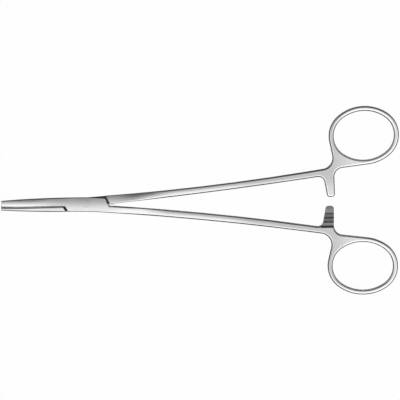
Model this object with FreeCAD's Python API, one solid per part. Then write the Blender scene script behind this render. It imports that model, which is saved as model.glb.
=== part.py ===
import FreeCAD, Part
import math
import os
from FreeCAD import Vector

# Locking forceps with a box lock, lying flat, its jaws just closed and its ratchet still open.
# Millimetres. The origin is on the pivot's axis, at the underside of the lock.
# +X runs from the lock to the finger rings, +Z is up, and the tenon half's shank lies on +Y.

# Lengths along the forceps, from the pivot
jaw_length = 38.1
jaw_middle = 26.0
jaw_root = 12.7
box_front = 9.8
box_back = 10.3
lock_flat = 6.8
shank_start = 12.0
shank_root = 24.0
shank_round = 36.0
shank_middle = 60.0
shank_end = 98.0

# Thicknesses, from one flat side to the other
tip_thickness = 2.5
jaw_thickness = 4.4
box_thickness = 5.0
shank_root_thickness = 4.2
shank_thickness = 3.6
handle_thickness = 3.2

# Edges of the closed jaws and of the lock, measured across from the pivot
upper_tip = 2.45
upper_jaw = 3.15
upper_box = 3.5
upper_pivot = 3.45
upper_back = 3.0
upper_crotch = 2.9
lower_tip = 1.9
lower_jaw = 2.53
lower_box = 2.9
lower_pivot = 2.97
parting_tip = 0.9
parting_root = 0.55
jaw_clear = 0.5
upper_crest = 1.4
upper_crest_root = 1.15
lower_crest = -0.8
crest_from = 16.0

# Box lock: the slot through the box half, and the tenon that turns in it
slot_width = 1.9
tenon_play = 0.05
hub_upper = 3.4
hub_lower = 2.8
hub_play = 0.08
open_angle = 60.0
cheek_slant_front = 1.3
cheek_slant_back = 2.2
cheek_top_front = 0.15
crotch_depth = 0.6
shoulder_gap = 0.35
shoulder_flare = 0.5
shoulder_chamfer = 1.2
shoulder_square = 0.8
tenon_inset = 0.08

# Pivot pin, and the flat land ground on the lock's underside, on which the forceps rests
pin_radius = 1.2
pin_head_radius = 1.7
pin_head_depth = 0.5
pin_play = 0.05
land_depth = 0.02

# Gripping faces
tooth_pitch = 1.0
tooth_depth = 0.2
tooth_start = 1.5
tooth_count = 23
jaw_gap_tip = 0.06
jaw_gap_root = 0.2

# Rounding of the sections: crown radii of the flat sides and radii of the edges
tip_crown = 3.4
jaw_crown = 4.2
jaw_root_crown = 10.0
box_crown = 14.0
shank_crown = 4.5
handle_crown = 400.0
tip_edge = 0.55
jaw_edge = 0.8
grip_edge_tip = 0.5
grip_edge = 0.7
box_edge = 0.5
crotch_edge = 0.35
shank_edge = 0.9
rim_bevel = 0.62
rim_break = 0.23
nose_length = 0.5
nose_drop = 0.2
nose_radius = 1.1

# Finger rings, and the bends that join ring, shank and ratchet arm
ring_long = 13.5
ring_end_share = 0.88
ring_stock = 2.2
bow_angle = 277.0
heel_radius = 5.1
crotch_radius = 2.6
bow_radius = 4.0

# Ratchet arms and their teeth, measured outwards from the middle line
arm_tip_radius = 1.4
arm_root_at = 8.0
rack_first = 5.5
rack_pitch = 1.97
rack_count = 3
rack_depth = 0.55
rack_run = 0.15
rack_gap = 0.06
rack_step = 11.4
rack_step_radius = 0.9
rack_front = 104.4
rack_width = 7.4
tip_bevel = 0.5

middle = box_thickness / 2

# A rounded edge is made as this many arcs in a section, and as many bevels round a handle's rims
rim_faces = 3
near = 0.01


def through(xs, ys):
    """The parabola through three points, as a function of x."""
    def value(x):
        total = 0.0
        for i, y in enumerate(ys):
            others = [a for j, a in enumerate(xs) if j != i]
            total += y * math.prod((x - a) / (xs[i] - a) for a in others)
        return total
    return value


def smooth(*points):
    """A function through points (x, y) that bends smoothly and doesn't overshoot between them."""
    xs = [p[0] for p in points]
    ys = [p[1] for p in points]
    runs = [(ys[i + 1] - ys[i]) / (xs[i + 1] - xs[i]) for i in range(len(xs) - 1)]
    inner = [0.0 if a * b <= 0 else 2 * a * b / (a + b) for a, b in zip(runs, runs[1:])]
    slopes = [runs[0]] + inner + [runs[-1]]

    def value(x):
        i = min(len(runs) - 1, sum(x > a for a in xs[1:-1]))
        w = xs[i + 1] - xs[i]
        t = (x - xs[i]) / w
        return ((1 + 2 * t) * (1 - t) ** 2 * ys[i] + t * (1 - t) ** 2 * w * slopes[i]
                + t * t * (3 - 2 * t) * ys[i + 1] + t * t * (t - 1) * w * slopes[i + 1])
    return value


def steps(start, end, count):
    return [start + (end - start) * i / count for i in range(count + 1)]


def direction(angle):
    return Vector(math.cos(math.radians(angle)), math.sin(math.radians(angle)), 0)


class Half:
    """Shank, ring and ratchet arm of one half, drawn on the +Y side of the middle line.

    The ring's oval is two end arcs and two side arcs, which join at the angles that they face there."""

    def __init__(self, side, shank_edges, shank_widths, ring_at, ring_short, ring_tilt, heel_angle,
                 arm_front, arm_back, arm_tip):
        places = (shank_start, shank_middle, shank_end)
        self.side = side
        self.outer = through(places, shank_edges)
        self.inner = through(places, [e - w for e, w in zip(shank_edges, shank_widths)])
        self.ring_at = Vector(*ring_at, 0)
        self.ring_tilt = ring_tilt
        self.end_radius = ring_end_share * ring_short
        self.end_at = ring_long - self.end_radius
        twice = ring_long ** 2 + ring_short ** 2 - 2 * ring_long * self.end_radius
        self.side_radius = twice / (ring_short - self.end_radius) / 2
        self.side_at = self.side_radius - ring_short
        join = math.degrees(math.atan2(self.side_at, self.end_at))
        self.joins = [ring_tilt + turn for turn in (-join, join, 180 - join, 180 + join)]
        self.heel_angle = heel_angle
        self.arm_front = arm_front
        self.arm_back = arm_back
        self.arm_tip = arm_tip

    def on_ring(self, facing, stock):
        """Point of the ring's oval that faces an angle, with this much stock outside its opening."""
        turned = direction(facing - self.ring_tilt)
        if abs(turned.x) * self.side_at < abs(turned.y) * self.end_at:
            radius = self.side_radius
            centre = direction(self.ring_tilt + 90) * math.copysign(self.side_at, -turned.y)
        else:
            radius = self.end_radius
            centre = direction(self.ring_tilt) * math.copysign(self.end_at, turned.x)
        return self.ring_at + centre + direction(facing) * (radius + stock)

    def ring_arcs(self, stock, stops):
        """Arcs of the ring's oval between the angles that it faces at the stops."""
        return [arc_edge(*[self.on_ring(t, stock) for t in (a, (a + b) / 2, b)]) for a, b in zip(stops, stops[1:])]


# Shank edges and widths are at its start, middle and end; arm edges are at the tip and at the root
box_side = Half(
    side=-1, shank_edges=(3.8, 8.45, 13.4), shank_widths=(3.25, 3.25, 3.1),
    ring_at=(122.95, 29.05), ring_short=10.65, ring_tilt=1.0, heel_angle=194.0,
    arm_front=(106.9, 105.8), arm_back=(110.5, 110.4), arm_tip=2.0)
tenon_side = Half(
    side=1, shank_edges=(4.27, 8.45, 13.35), shank_widths=(3.8, 3.05, 3.2),
    ring_at=(124.3, 29.2), ring_short=10.9, ring_tilt=3.7, heel_angle=191.5,
    arm_front=(107.6, 106.5), arm_back=(111.0, 110.9), arm_tip=1.9)

# How the outlines, the thickness and the rounding run along the forceps
nose = nose_length - jaw_length
upper_edge = smooth((-jaw_length, upper_tip), (-jaw_middle, upper_jaw), (-box_front, upper_box),
                    (0, upper_pivot), (box_front, upper_back), (shank_start, upper_crotch))
lower_edge = smooth((-jaw_length, -lower_tip), (-jaw_middle, -lower_jaw), (-box_front, -lower_box),
                    (0, -lower_box))
under_edge = smooth((-box_front, -lower_box), (0, -lower_pivot), (shank_start, -box_side.outer(shank_start)))
half_height = smooth((-jaw_length, tip_thickness / 2 - nose_drop), (nose, tip_thickness / 2),
                     (-box_front, jaw_thickness / 2), (-lock_flat, box_thickness / 2 + land_depth),
                     (lock_flat, box_thickness / 2 + land_depth), (shank_root, shank_root_thickness / 2),
                     (shank_middle, shank_thickness / 2), (shank_end, handle_thickness / 2))
bend = smooth((-jaw_length, 1 / tip_crown), (-jaw_middle, 1 / jaw_crown), (-jaw_root, 1 / jaw_root_crown),
              (-lock_flat, 1 / box_crown), (shank_start, 1 / box_crown), (shank_round, 1 / shank_crown),
              (shank_middle, 1 / shank_crown), (shank_end, 1 / handle_crown))
edge_radius = smooth((-jaw_length, tip_edge), (-jaw_middle, jaw_edge), (-jaw_root, jaw_edge),
                     (-lock_flat, box_edge), (lock_flat, box_edge), (shank_round, shank_edge),
                     (shank_end, shank_edge))
grip_radius = smooth((-jaw_length, grip_edge_tip), (-jaw_middle, grip_edge), (-box_front, grip_edge))

# The crest, the highest line of a flat side, is near the parting on the lower jaw and above the middle on
# the upper one. Both come to the middle of the lock.
lock_crest = (upper_box - lower_box) / 2
upper_apex = smooth((-jaw_length, upper_crest), (-crest_from, upper_crest_root), (-lock_flat, lock_crest),
                    (shank_start, lock_crest))
lower_apex = smooth((-jaw_length, lower_crest), (-crest_from, lower_crest), (-lock_flat, lock_crest))
jaw_stations = [-jaw_length, nose] + steps(nose + nose_length, -box_front, 4)


def parting(x):
    """Height in the plan of the line where the jaws meet."""
    share = (x + jaw_length) / (jaw_length - box_front)
    return (parting_tip - parting_root) * share - parting_tip


def jaw_gap(x):
    """Gap between the closed jaws, which meet at their tips first."""
    share = (x + jaw_length) / (jaw_length - box_front)
    return jaw_gap_tip + (jaw_gap_root - jaw_gap_tip) * share


def arc_edge(*points):
    return Part.Arc(*points).toShape()


def section(x, low, high, apex, low_edge, high_edge):
    """Outline across the forceps at x: crowned flat sides, upright edges, corners rounded in three arcs."""
    crown = 1 / bend(x)
    centre = Vector(x, apex, half_height(x) - crown)
    corners = []
    for edge, outward, radius in ((low, -1, low_edge), (high, 1, high_edge)):
        across = edge - outward * radius - apex
        spoke = Vector(0, across, math.sqrt((crown - radius) ** 2 - across ** 2)).normalize()
        at = centre + spoke * (crown - radius)
        turns = steps(math.atan2(spoke.z, outward * spoke.y), 0, 2 * rim_faces)
        corners.append([at + Vector(0, outward * math.cos(t), math.sin(t)) * radius for t in turns])
    top = centre + (corners[0][0] + corners[1][0] - centre * 2).normalize() * crown
    over = corners[0][::-1] + [top] + corners[1]
    under = [Vector(p.x, p.y, -p.z) for p in reversed(over)]
    edges = []
    for run, after in ((over, under), (under, over)):
        edges += [arc_edge(*run[i:i + 3]) for i in range(0, len(run) - 2, 2)]
        edges.append(Part.makeLine(run[-1], after[0]))
    wire = Part.Wire(edges)
    wire.translate(Vector(0, 0, middle))
    return wire


def bar(stations, low, high, apex, low_edge=edge_radius, high_edge=edge_radius, last=()):
    """Solid through the sections at the stations. Edges, apex and radii are functions of x."""
    wires = [section(x, low(x), high(x), apex(x), low_edge(x), high_edge(x)) for x in stations]
    return Part.makeLoft(wires + list(last), True, True)


def rounded(points, radii, closed=True):
    """Straight runs between the points, each corner rounded with its radius."""
    count = len(points)
    trims = []
    for i, radius in enumerate(radii):
        if not radius:
            trims.append((points[i], None, points[i]))
            continue
        back = (points[i - 1] - points[i]).normalize()
        ahead = (points[(i + 1) % count] - points[i]).normalize()
        half_turn = back.getAngle(ahead) / 2
        reach = radius / math.tan(half_turn)
        knee = points[i] + (back + ahead).normalize() * (radius / math.sin(half_turn) - radius)
        trims.append((points[i] + back * reach, knee, points[i] + ahead * reach))
    edges = []
    for i, (enter, knee, leave) in enumerate(trims):
        if knee:
            edges.append(arc_edge(enter, knee, leave))
        if closed or i < count - 1:
            edges.append(Part.makeLine(leave, trims[(i + 1) % count][0]))
    return edges


def plate(corners, low=-1.0, high=box_thickness + 1.0):
    """Prism between two heights. A corner is (x, y), or (x, y, r) where it is rounded."""
    points = [Vector(c[0], c[1], low) for c in corners]
    edges = rounded(points, [c[2] if len(c) > 2 else 0 for c in corners])
    return Part.Face(Part.Wire(edges)).extrude(Vector(0, 0, high - low))


def meet(p, along_p, q, along_q):
    """Where two lines in the plan cross."""
    gap = q - p
    share = (gap.x * along_q.y - gap.y * along_q.x) / (along_p.x * along_q.y - along_p.y * along_q.x)
    return p + along_p * share


def mirrored(shape):
    return shape.mirror(Vector(0, 0, 0), Vector(0, 1, 0))


def turned_over(shape):
    return shape.mirror(Vector(0, 0, middle), Vector(0, 0, 1))


def joined(pieces):
    return pieces[0].multiFuse(pieces[1:]).removeSplitter()


def along_crotch(x):
    """Share of the way from the lock's section to the shank's rounded one."""
    return min(1.0, max(0.0, (x - shank_start) / (shank_round - shank_start)))


def shank_apex(half):
    """The shank's highest line, from the middle of the lock to the middle of the shank."""
    def value(x):
        share = along_crotch(x)
        ease = share * share * (3 - 2 * share)
        return half.side * lock_crest * (1 - ease) + (half.outer(x) + half.inner(x)) / 2 * ease
    return value


def facing_radius(x):
    """The shanks' facing edges are crisp in the crotch and rounder further on."""
    return crotch_edge + (edge_radius(x) - crotch_edge) * along_crotch(x)


def handle(half):
    """Finger ring, ratchet arm and the web where they meet the shank."""
    heel_at = half.on_ring(half.heel_angle, ring_stock)
    bow_at = half.on_ring(bow_angle, ring_stock)
    outer_at = Vector(shank_end, half.outer(shank_end), 0)
    inner_at = Vector(shank_end, half.inner(shank_end), 0)
    outer_along = Vector(1, half.outer(shank_end + 0.5) - half.outer(shank_end - 0.5), 0)
    inner_along = Vector(1, half.inner(shank_end + 0.5) - half.inner(shank_end - 0.5), 0)
    front_tip = Vector(half.arm_front[0], half.arm_tip, 0)
    front_root = Vector(half.arm_front[1], arm_root_at, 0)
    back_tip = Vector(half.arm_back[0], half.arm_tip, 0)
    back_root = Vector(half.arm_back[1], arm_root_at, 0)
    heel = meet(heel_at, direction(half.heel_angle + 90), outer_at, outer_along)
    crotch = meet(inner_at, inner_along, front_root, front_root - front_tip)
    bow = meet(bow_at, direction(bow_angle + 90), back_root, back_root - back_tip)
    points = [heel_at, heel, outer_at, inner_at, crotch, front_tip, back_tip, bow, bow_at]
    radii = [0, heel_radius, 0, 0, crotch_radius, arm_tip_radius, arm_tip_radius, bow_radius, 0]
    outline = rounded(points, radii, closed=False)
    outline += half.ring_arcs(ring_stock, [bow_angle - 360] + half.joins[:3] + [half.heel_angle])
    opening = half.ring_arcs(0, half.joins + [half.joins[0] + 360])
    face = Part.Face(Part.Wire(Part.sortEdges(outline)[0])).cut(Part.Face(Part.Wire(opening)))
    face.translate(Vector(0, 0, middle - handle_thickness / 2))
    blank = face.extrude(Vector(0, 0, handle_thickness))
    for bevel in (rim_bevel, rim_break):
        rims = [e for e in blank.Edges if e.BoundBox.ZLength < near and e.BoundBox.XMax > shank_end + near]
        blank = blank.makeChamfer(bevel, rims)
    return blank


def arm(half, rack, start=shank_start):
    """Shank, finger ring and ratchet arm of one half. The shank ends in the handle's own section."""
    end = handle(half)
    last = [f.OuterWire for f in end.Faces if f.BoundBox.XMax < shank_end + near]
    stations = steps(start, shank_round, 4) + steps(shank_round, shank_end, 4)[1:-1]
    bare = bar(stations, half.inner, half.outer, shank_apex(half), low_edge=facing_radius, last=last)
    return joined([bare, end]).cut(rack)


def rack_cutter():
    """What is milled off the upper side of an arm: saw teeth in its floor and a rounded step at its root."""
    crest = middle - rack_gap / 2
    base = crest - rack_depth
    top = middle + handle_thickness
    floor = [(-1.0, crest - tip_bevel), (rack_first - rack_pitch, crest)]
    for i in range(rack_count):
        catch = rack_first + rack_pitch * i
        floor += [(catch, crest), (catch + rack_run, base)]
    step = [(rack_step, base), (rack_step + rack_step_radius, top), (-1.0, top)]
    points = [Vector(0, y, z) for y, z in floor + step]
    radii = [0] * len(floor) + [rack_step_radius, 0, 0]
    face = Part.Face(Part.Wire(rounded(points, radii)))
    face.translate(Vector(rack_front, 0, 0))
    return face.extrude(Vector(rack_width, 0, 0))


def parting_line(side):
    """Edge of one jaw's gripping face, with its cross-cut teeth, on this side of the gap."""
    first = tooth_start - jaw_length
    points = [(-jaw_length - 1, 0), (first - tooth_pitch / 4, 0)]
    for i in range(tooth_count):
        x = first + tooth_pitch * i
        points += [(x, tooth_depth / 2), (x + tooth_pitch / 2, -tooth_depth / 2)]
    last = first + tooth_pitch * tooth_count
    points += [(last, tooth_depth / 2), (last + tooth_pitch / 4, 0), (0, 0)]
    return [(x, y + parting(x) + side * jaw_gap(x) / 2) for x, y in points]


def cheek_line(y):
    """Slanted front end of the cheeks: its x at y."""
    return -box_front + cheek_slant_front * (cheek_top_front - y) / (cheek_top_front + lower_box)


def back_line(y):
    """Slanted back end of the cheeks: its x at y."""
    return box_back - cheek_slant_back * (y + crotch_depth) / (upper_back + crotch_depth)


def lock_bar():
    """The lock's full section, from the cheeks' front end to the shank."""
    return bar(steps(-box_front, shank_start, 5), under_edge, upper_edge, upper_apex)


def box_forging():
    """Wide jaw, cheeks, lower shank, ring and arm of the box half, before its slot is cut."""
    jaw = bar(jaw_stations, lambda x: parting(x) - tooth_depth / 2, upper_edge, upper_apex, low_edge=grip_radius)
    jaw = jaw.common(plate(parting_line(1) + [(0, 2 * upper_box), (-jaw_middle, upper_jaw + jaw_clear),
                                              (-jaw_length, upper_tip, nose_radius)]))
    far = 2 * box_front
    after = shank_start + 1
    lock = lock_bar().common(plate([
        (-far, far), (-far, cheek_top_front), (cheek_line(cheek_top_front), cheek_top_front),
        (cheek_line(-far), -far), (after, -far), (after, -box_side.inner(after)),
        (back_line(-crotch_depth), -crotch_depth), (back_line(far), far)]))
    return joined([jaw, lock, mirrored(arm(box_side, rack_cutter()))])


def hub_arc(radius, start, end):
    """Arc round the pivot between two directions, anticlockwise."""
    a = math.atan2(start.y, start.x)
    b = math.atan2(end.y, end.x)
    if b < a:
        b += 2 * math.pi
    return arc_edge(*[Vector(radius * math.cos(t), radius * math.sin(t), 0) for t in (a, (a + b) / 2, b)])


def lock_plan(play, turn, reach, corners):
    """Plan of the tenon, a hub with two long tangent edges, grown by a play.

    The long edges are turned by an angle about the pivot. Corners are added beyond the two ends."""
    far = Vector(shank_start, tenon_side.outer(shank_start) - tenon_inset, 0)
    lean = math.atan2(far.y, far.x) + math.acos(hub_upper / far.Length) + turn
    upper = Vector(math.cos(lean), math.sin(lean), 0)
    lower = Vector(math.sin(turn), -math.cos(turn), 0)
    upper_at = upper * (hub_upper + play)
    lower_at = lower * (hub_lower + play)
    upper_end = upper_at + Vector(upper.y, -upper.x, 0) * reach
    lower_end = lower_at + Vector(lower.y, -lower.x, 0) * reach

    def face_height(x):
        return parting(x) - jaw_gap(x) / 2 - tenon_inset + play

    face_start = Vector(-math.sqrt((hub_upper + play) ** 2 - face_height(-hub_upper) ** 2),
                        face_height(-hub_upper), 0)
    face_end = Vector(-reach, face_height(-reach), 0)
    crotch_start = Vector(hub_lower + play, 0, 0)
    crotch_end = Vector(reach, tenon_side.inner(reach) + tenon_inset - play, 0)
    runs = [[face_start, face_end] + corners[:1] + [lower_end, lower_at],
            [crotch_start, crotch_end] + corners[1:] + [upper_end, upper_at]]
    edges = [Part.makeLine(a, b) for run in runs for a, b in zip(run, run[1:])]
    edges.append(hub_arc(hub_lower + play, lower, crotch_start))
    edges.append(hub_arc(hub_upper + play, upper, face_start))
    return Part.Face(Part.Wire(Part.sortEdges(edges)[0]))


def slab(face, thickness):
    """Prism of a plan face, centred on the middle height."""
    face.translate(Vector(0, 0, middle - thickness / 2))
    return face.extrude(Vector(0, 0, thickness))


def rivet():
    """Pivot pin with a countersunk head at each end, before its ends are made flush."""
    over = box_thickness + pin_head_depth
    profile = [Vector(0, 0, -pin_head_depth), Vector(pin_head_radius, 0, -pin_head_depth),
               Vector(pin_head_radius, 0, 0), Vector(pin_radius, 0, pin_head_depth),
               Vector(pin_radius, 0, box_thickness - pin_head_depth), Vector(pin_head_radius, 0, box_thickness),
               Vector(pin_head_radius, 0, over), Vector(0, 0, over)]
    face = Part.Face(Part.Wire(rounded(profile, [0] * len(profile))))
    return face.revolve(Vector(0, 0, 0), Vector(0, 0, 1), 360)


def ground(shape):
    """The lock's underside is ground flat, with the pin's end in it."""
    length = box_front + shank_start
    return shape.cut(Part.makeBox(length, 2 * length, middle, Vector(-box_front, -length, -middle)))


def pivot_pin():
    """The pin's upper end follows the crowned side of the lock."""
    return ground(rivet().common(lock_bar()))


def box_half():
    """Female half: the tenon's slot and the pin's holes are cut in its forging."""
    far = 2 * box_front
    slot = slab(lock_plan(hub_play, math.radians(open_angle), shank_start, [Vector(-shank_start, -far, 0),
                                                                         Vector(shank_start, far, 0)]), slot_width)
    return ground(box_forging().cut([slot, rivet()]))


def tenon_half():
    """Male half: narrow jaw, tenon, upper shank, ring and arm."""
    far = 2 * box_front

    def shoulder(y):
        share = (cheek_top_front - y) / (cheek_top_front + lower_box)
        return cheek_line(y) - shoulder_gap - shoulder_flare * share

    jaw = bar(jaw_stations + [-box_front + 1], lower_edge, lambda x: parting(x) + tooth_depth / 2, lower_apex,
              high_edge=grip_radius)
    jaw = jaw.common(plate(parting_line(-1) + [(0, -far), (-jaw_middle, -lower_jaw - jaw_clear),
                                               (-jaw_length, -lower_tip, nose_radius)]))
    jaw = jaw.cut(plate([(shoulder(far), far), (shoulder(-far), -far), (far, -far), (far, far)]))

    inner = tenon_side.inner(box_back)
    foot = inner + shoulder_chamfer
    brow = tenon_side.outer(box_back) - shoulder_square
    end = back_line(brow) + shoulder_gap
    root = arm(tenon_side, turned_over(rack_cutter()), back_line(tenon_side.outer(box_front)) - shoulder_gap)
    root = root.cut(plate([(end, far), (end, brow), (back_line(foot) + shoulder_gap, foot),
                           (back_line(inner) + shoulder_gap + shoulder_chamfer, inner - 1),
                           (-far, inner - 1), (-far, far)]))
    tenon = slab(lock_plan(0.0, 0.0, shank_start + 1, []), slot_width - 2 * tenon_play)
    hole = Part.makeCylinder(pin_radius + pin_play, far, Vector(0, 0, -1))
    return ground(joined([jaw, tenon, root]).cut(hole))


os.makedirs("parts", exist_ok=True)
for name, shape in (("box_half", box_half()), ("tenon_half", tenon_half()), ("pivot_pin", pivot_pin())):
    shape.exportStep("parts/" + name + ".step")
    print(name, shape.isValid(), len(shape.Solids), round(shape.Volume, 1))
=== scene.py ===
import math

import bpy
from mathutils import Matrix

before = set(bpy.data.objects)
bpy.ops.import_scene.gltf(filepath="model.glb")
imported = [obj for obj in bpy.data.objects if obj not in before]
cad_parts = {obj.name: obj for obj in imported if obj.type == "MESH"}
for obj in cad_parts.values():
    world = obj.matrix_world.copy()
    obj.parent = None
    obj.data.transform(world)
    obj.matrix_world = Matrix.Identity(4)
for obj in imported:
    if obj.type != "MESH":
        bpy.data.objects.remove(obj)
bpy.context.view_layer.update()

# The box half is one forging of stainless steel: the wide jaw, the cheeks of the lock, a shank, a finger
# ring and a ratchet arm. Fine belts that run along the shank give it a satin polish. Painted shade darkens
# its inner corners, joints and ratchet catches, and painted highlights lighten its rings and shank. The
# slot in the lock is milled and painted nearly black as shade; the teeth of the ratchet are milled, and
# stay darker.


class Sum:
    """A socket of a shader, on which sums are written as in plain Python."""

    def __init__(self, tree, socket):
        self.tree = tree
        self.socket = socket

    def node(self, kind, settings, **inputs):
        """A new node of a kind: its settings are made first, and then its sockets are filled.

        A socket goes by its name or, as i0, i1 and so on, by its place in the node's list."""
        made = self.tree.nodes.new(kind)
        for name, value in settings.items():
            setattr(made, name, value)
        for name, value in inputs.items():
            socket = made.inputs[int(name[1:]) if name[1:].isdigit() else name]
            if isinstance(value, Sum):
                self.tree.links.new(value.socket, socket)
            else:
                socket.default_value = value
        return made

    def value(self, kind, settings, output=0, **inputs):
        """What a new node gives out at one of its outputs."""
        return Sum(self.tree, self.node(kind, settings, **inputs).outputs[output])

    def maths(self, operation, *terms):
        """What a Math node makes of some terms."""
        named = {"i%d" % place: term for place, term in enumerate(terms)}
        return self.value("ShaderNodeMath", {"operation": operation}, **named)

    def mix(self, factor, first, second):
        """The first colour where the factor is 0, and the second where it is 1."""
        colours = {"data_type": "RGBA"}
        return self.value("ShaderNodeMix", colours, output=2, i0=factor, i6=first, i7=second)

    def __add__(self, other):
        return self.maths("ADD", self, other)

    def __sub__(self, other):
        return self.maths("SUBTRACT", self, other)

    def __rsub__(self, other):
        return self.maths("SUBTRACT", other, self)

    def __mul__(self, other):
        return self.maths("MULTIPLY", self, other)

    def __or__(self, other):
        """The greater of two, so that two masks that overlap don't add up."""
        return self.maths("MAXIMUM", self, other)

    def __abs__(self):
        return self.maths("ABSOLUTE", self)

    __radd__ = __add__
    __rmul__ = __mul__

    def axes(self):
        """The three numbers of a vector."""
        split = self.node("ShaderNodeSeparateXYZ", {}, i0=self)
        return [Sum(self.tree, number) for number in split.outputs]

    def between(self, low, high):
        """0 below low, 1 above high and a smooth rise from one to the other."""
        smooth = {"interpolation_type": "SMOOTHSTEP", "clamp": True}
        return self.value("ShaderNodeMapRange", smooth, i0=self, i1=low, i2=high)

    def within(self, start, end):
        """1 from start to end and 0 outside, where both are a range for a smooth rise or fall."""
        return self.between(*start) * (1.0 - self.between(*end))

    def near(self, inner, outer):
        """1 up to a distance inner to both sides of zero, and 0 from a distance outer on."""
        return 1.0 - abs(self).between(inner, outer)


marks_per_metre = (90.0, 2600.0, 2600.0)
marks_uneven = 0.1
marks_edges = (0.3, 0.7)
marks_share = 0.5
marks_depth = 0.00002
clouds_per_metre = 140.0
clouds_uneven = 0.06
noise_middle = 0.5
# How much lighter the steel is painted where a painted highlight lies.
highlight_gain = 1.28
# The black that is painted into the steel as shade.
painted_shade_black = (0.03, 0.03, 0.03, 1.0)


def steel(name, colour, roughness, streaks, painted_shade=None, painted_highlight=None):
    """Stainless steel with fine marks that run along the forceps, as dark as streaks says.

    Painted shade and painted highlight are functions of place: how much shade is painted black there, and
    how much light is painted on."""
    made = bpy.data.materials.new(name)
    made.use_nodes = True
    tree = made.node_tree
    shader = tree.nodes["Principled BSDF"]
    shader.inputs["Metallic"].default_value = 1.0
    start = Sum(tree, None)
    place = start.value("ShaderNodeTexCoord", {}, output="Object")
    x, y, z = place.axes()
    along = start.value("ShaderNodeMapping", {}, Vector=place, Scale=marks_per_metre)
    marks = start.value("ShaderNodeTexNoise", {}, Vector=along, Scale=1.0, Detail=3.0, Roughness=0.6)
    clouds = start.value("ShaderNodeTexNoise", {}, Vector=place, Scale=clouds_per_metre, Detail=2.0)
    rough = roughness + (marks - noise_middle) * marks_uneven + (clouds - noise_middle) * clouds_uneven
    tree.links.new(rough.socket, shader.inputs["Roughness"])
    bright = tuple(min(1.0, highlight_gain * part) for part in colour[:3]) + (1.0,)
    dull = tuple((1.0 - streaks) * part for part in colour[:3]) + (1.0,)
    shade = start.mix(marks.between(*marks_edges) * marks_share, colour, dull)
    # Painted highlights, then painted shade, go over the steel's own colour and marks.
    if painted_highlight:
        shade = start.mix(painted_highlight(x, y, z), shade, bright)
    if painted_shade:
        shade = start.mix(painted_shade(x, y, z), shade, painted_shade_black)
    tree.links.new(shade.socket, shader.inputs["Base Color"])
    bump = start.value("ShaderNodeBump", {}, Strength=0.04, Distance=marks_depth, Height=marks)
    tree.links.new(bump.socket, shader.inputs["Normal"])
    return made


def finished(node, material):
    """A CAD node with the finish that it has nearly all over, and its slot in the record."""
    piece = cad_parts[node]
    piece.data.materials.clear()
    piece.data.materials.append(material)
    return piece


upright_below = 0.2


def left_as_milled(piece, material, low, high):
    """Faces of a piece whose middles lie between two corners, and which aren't upright, take a material."""
    piece.data.materials.append(material)
    for face in piece.data.polygons:
        inside = all(a < c < b for a, c, b in zip(low, face.center, high))
        if inside and abs(face.normal.z) > upright_below:
            face.material_index = len(piece.data.materials) - 1


# The catches of the teeth carry painted shade, where shade falls in their roots.
first_catch = 0.0054
tooth_pitch = 0.00197
catch_width = 0.0005
catch_shade = 0.85
teeth_start = (0.00505, 0.0053)
teeth_end = (0.0096, 0.00985)
beside_teeth_dull = 0.4


def tooth_shade_and_dullness(x, y, z):
    """Painted shade along the catches of the teeth, where shade falls in their roots, and duller steel to
    both sides of them.
    """
    across = abs(y)
    catches = across.maths("PINGPONG", across - first_catch, tooth_pitch / 2)
    catches = catches.near(catch_width / 3, catch_width)
    teeth = across.within(teeth_start, teeth_end)
    return catches * teeth * catch_shade + (1.0 - teeth) * beside_teeth_dull


# Painted highlights: the steel is painted lighter on the rings' flat sides and the middle of the shanks.
ring_highlight = (0.108, 0.121)
shank_highlight = ((0.028, 0.04), (0.062, 0.075))
shank_highlight_share = 0.6


def shared_painted_highlight(x, y, z):
    """A painted highlight on the flat sides of the rings, and a weaker one on the middle of the shanks."""
    return x.between(*ring_highlight) | (x.within(*shank_highlight) * shank_highlight_share)


# Painted shade is black up to the first number of a width and gone at the second. A reach fades in and out
# again.
cheek_slant = 0.0022 / 0.0036
cheek_front = (-0.0101, -0.0005)
front_width = (0.0005, 0.0009)
front_reach = ((-0.0026, -0.0024), (-0.0004, -0.0002))


def past_slant(x, y, point):
    """How far a place lies behind the slanted end of the cheeks that runs through a point."""
    return x - point[0] + (y - point[1]) * cheek_slant


def joint_painted_shade(x, y, z):
    """Painted shade in the corner before the cheeks, where the gap between the parts lies in shade."""
    return past_slant(x, y, cheek_front).near(*front_width) * y.within(*front_reach)


# Painted shade at the cheeks' ends in the crotch, along the crotch's edge and along the joint of the jaws.
cheek_back = (0.0103, -0.0006)
back_width = (0.0003, 0.0007)
back_reach = ((-0.0016, -0.0008), (0.001, 0.0018))
back_shade = 0.75
crotch = (0.0107, -0.00084)
crotch_slope = -0.08
crotch_width = (0.0002, 0.0005)
crotch_reach = ((0.0096, 0.0102), (0.018, 0.028))
crotch_shade = 0.85
parting = (0.0, -0.00035)
parting_slope = 0.0092
parting_width = (0.0002, 0.0004)
parting_reach = ((-0.036, -0.028), (-0.0105, -0.0101))
parting_shade = 0.8


def above_line(x, y, point, slope):
    """How far a place lies, towards +Y, from a line along the forceps that runs through a point."""
    return y - point[1] - (x - point[0]) * slope


def box_painted_shade(x, y, z):
    """Painted shade too at the cheeks' ends in the crotch, along its edge, and along the edge that meets
    the other jaw.
    """
    back = past_slant(x, y, cheek_back).near(*back_width) * y.within(*back_reach) * back_shade
    edge = above_line(x, y, crotch, crotch_slope).near(*crotch_width) * x.within(*crotch_reach)
    jaws = above_line(x, y, parting, parting_slope).near(*parting_width) * x.within(*parting_reach)
    return joint_painted_shade(x, y, z) | back | (edge * crotch_shade) | (jaws * parting_shade)


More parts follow.
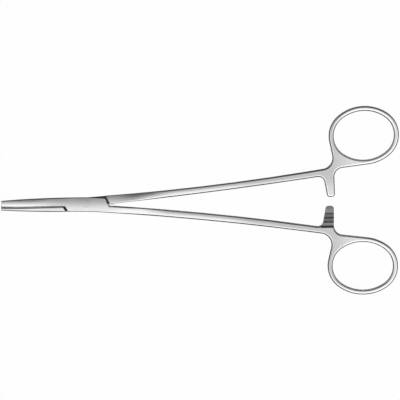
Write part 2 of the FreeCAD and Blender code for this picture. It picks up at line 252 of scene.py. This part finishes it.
satin = {"colour": (0.78, 0.78, 0.785, 1.0), "roughness": 0.2, "streaks": 0.12}
forged_steel = steel("forged_steel", **satin, painted_shade=box_painted_shade, painted_highlight=shared_painted_highlight)
milled_teeth = steel("milled_teeth", (0.62, 0.62, 0.625, 1.0), roughness=0.42, streaks=0.3,
                     painted_shade=tooth_shade_and_dullness)
# The milled slot's steel is painted nearly black, as the shade that falls in it.
milled_slot_painted_shade = steel("milled_slot_painted_shade", (0.06, 0.06, 0.062, 1.0), roughness=0.55, streaks=0.2)
lock_middle = 0.0025
slot_half_width = 0.00097
slot_reach = 0.0145
slot_low = (-slot_reach, -slot_reach, lock_middle - slot_half_width)
slot_high = (slot_reach, slot_reach, lock_middle + slot_half_width)
rack_front = 0.1035
rack_back = 0.1125
rack_root = 0.0125
rack_depth = 0.0008
rack_low = lock_middle - rack_depth
rack_high = lock_middle + rack_depth
box_half = finished("box_half", forged_steel)
left_as_milled(box_half, milled_slot_painted_shade, slot_low, slot_high)
left_as_milled(box_half, milled_teeth, (rack_front, -rack_root, rack_low), (rack_back, 0.0, rack_high))

# The tenon half is the other forging: the narrow jaw, the thin tenon in the box, a shank, a ring and a
# ratchet arm whose teeth are on its underside. It has the same polish, with painted shade in the same
# corners and on the shoulder behind the cheeks, and a painted highlight at the root of its shank and the
# tip of its ratchet arm. Its tenon is milled and painted nearly black as shade, and its teeth are left as
# milled.
shoulder_end = (0.0008, 0.0011)
shoulder_start = (0.0068, 0.0084)


def tenon_painted_shade(x, y, z):
    """Painted shade on the shoulder behind the cheeks, where the corner lies in shade."""
    shoulder = x.between(*shoulder_start) * (1.0 - past_slant(x, y, cheek_back).between(*shoulder_end))
    return joint_painted_shade(x, y, z) | shoulder


root_highlight = ((0.0095, 0.0105), (0.025, 0.045))
arm_highlight_along = (0.1, 0.103)
arm_highlight_across = (0.003, 0.012)


def tenon_painted_highlight(x, y, z):
    """A painted highlight on the root of this shank and the tip of its ratchet arm, as light as on the
    rings.
    """
    tip = x.between(*arm_highlight_along) * (1.0 - y.between(*arm_highlight_across))
    return shared_painted_highlight(x, y, z) | x.within(*root_highlight) | tip


tenon_steel = steel("tenon_steel", **satin, painted_shade=tenon_painted_shade, painted_highlight=tenon_painted_highlight)
tenon_half = finished("tenon_half", tenon_steel)
left_as_milled(tenon_half, milled_slot_painted_shade, slot_low, slot_high)
left_as_milled(tenon_half, milled_teeth, (rack_front, 0.0, rack_low), (rack_back, rack_root, rack_high))

# The pivot pin is a rivet of the same steel, peened into both cheeks and ground flush, so that only the
# faint round edge of its head shows.
pin_steel = steel("pin_steel", (0.74, 0.74, 0.745, 1.0), roughness=0.23, streaks=0.12)
finished("pivot_pin", pin_steel)

# The table is plain and pale, and lies a hair under the forceps. The camera sees it white, but with its
# own shade in gaps too narrow for light to reach it. The steel mirrors it as a table in a dim room.
table_top = -0.00002
table_side = 4.0
table_white = (1.0, 1.0, 1.0, 1.0)
table_grey = (0.85, 0.85, 0.85, 1.0)
table_mirrored = (0.1, 0.1, 0.1, 1.0)
white_share = 0.98
shade_reach = 0.005
narrow_gap = 0.03
open_ground = 0.11
bpy.ops.object.select_all(action="DESELECT")
bpy.ops.mesh.primitive_plane_add(size=table_side, location=(0.0, 0.0, table_top))
table = bpy.context.object
table.name = "table"
table_paper = bpy.data.materials.new("table_paper")
table_paper.use_nodes = True
paper_tree = table_paper.node_tree
paper_tree.nodes.remove(paper_tree.nodes["Principled BSDF"])
paper = Sum(paper_tree, None)
seen = paper.value("ShaderNodeLightPath", {}, output="Is Camera Ray")
mirrored = paper.value("ShaderNodeLightPath", {}, output="Is Glossy Ray")
white = paper.value("ShaderNodeEmission", {}, Color=table_white, Strength=1.0)
grey = paper.value("ShaderNodeEmission", {}, Color=table_mirrored, Strength=1.0)
real = paper.value("ShaderNodeBsdfDiffuse", {}, Color=table_grey)
open_above = paper.value("ShaderNodeAmbientOcclusion", {"samples": 32}, output="AO", Distance=shade_reach)
lit = open_above.between(narrow_gap, open_ground)
shown = paper.value("ShaderNodeMixShader", {}, i0=seen * white_share * lit, i1=real, i2=white)
shown = paper.value("ShaderNodeMixShader", {}, i0=mirrored, i1=shown, i2=grey)
paper_tree.links.new(shown.socket, paper_tree.nodes["Material Output"].inputs["Surface"])
table.data.materials.append(table_paper)

# The light is a broad soft tent of white cloth, brightest towards the near side of the forceps (-Y) and
# fading to a dim room on the far side and close to the table, with a low window at both ends. The camera
# sees the open air behind it all as white.
tent_overhead = 0.74
tent_lean = 1.1
tent_ends = 0.2
tent_brightest = 1.28
tent_foot = (0.25, 0.72)
tent_near_edge = (-0.85, -0.73)
window_light = 0.5
window_sides = (0.62, 0.85)
window_sill = (0.08, 0.25)
room_dim = 0.09
room = bpy.data.worlds.new("room")
bpy.context.scene.world = room
room.use_nodes = True
room_tree = room.node_tree
air = Sum(room_tree, None)
facing = air.value("ShaderNodeTexCoord", {}, output="Generated")
ends, lean, height = facing.axes()
tent = tent_overhead - lean * tent_lean + ends * ends * tent_ends
tent = tent * height.between(*tent_foot) * lean.between(*tent_near_edge)
windows = (ends * ends).between(*window_sides) * height.between(*window_sill) * window_light
glow = air.maths("MINIMUM", tent | windows | room_dim, tent_brightest)
open_sky = air.value("ShaderNodeLightPath", {}, output="Is Camera Ray")
light = glow * (1.0 - open_sky) + open_sky
room_tree.links.new(light.socket, room_tree.nodes["Background"].inputs["Strength"])
room_tree.nodes["Background"].inputs["Color"].default_value = (1.0, 1.0, 1.0, 1.0)

# The camera looks straight down from far off, and sees 179 mm across at the middle of the forceps'
# thickness. The forceps lies turned by about a degree in its view.
seen_across = 0.17864
seen_middle = (0.05072, 0.00144)
seen_turn = math.radians(-0.9)
camera_height = 1.6
camera = bpy.data.cameras.new("camera")
camera.sensor_width = 36.0
camera.lens = camera.sensor_width * camera_height / seen_across
camera_object = bpy.data.objects.new("camera", camera)
camera_object.location = (*seen_middle, lock_middle + camera_height)
camera_object.rotation_euler = (0.0, 0.0, seen_turn)
bpy.context.scene.collection.objects.link(camera_object)
bpy.context.scene.camera = camera_object
bpy.context.scene.view_settings.view_transform = "Standard"
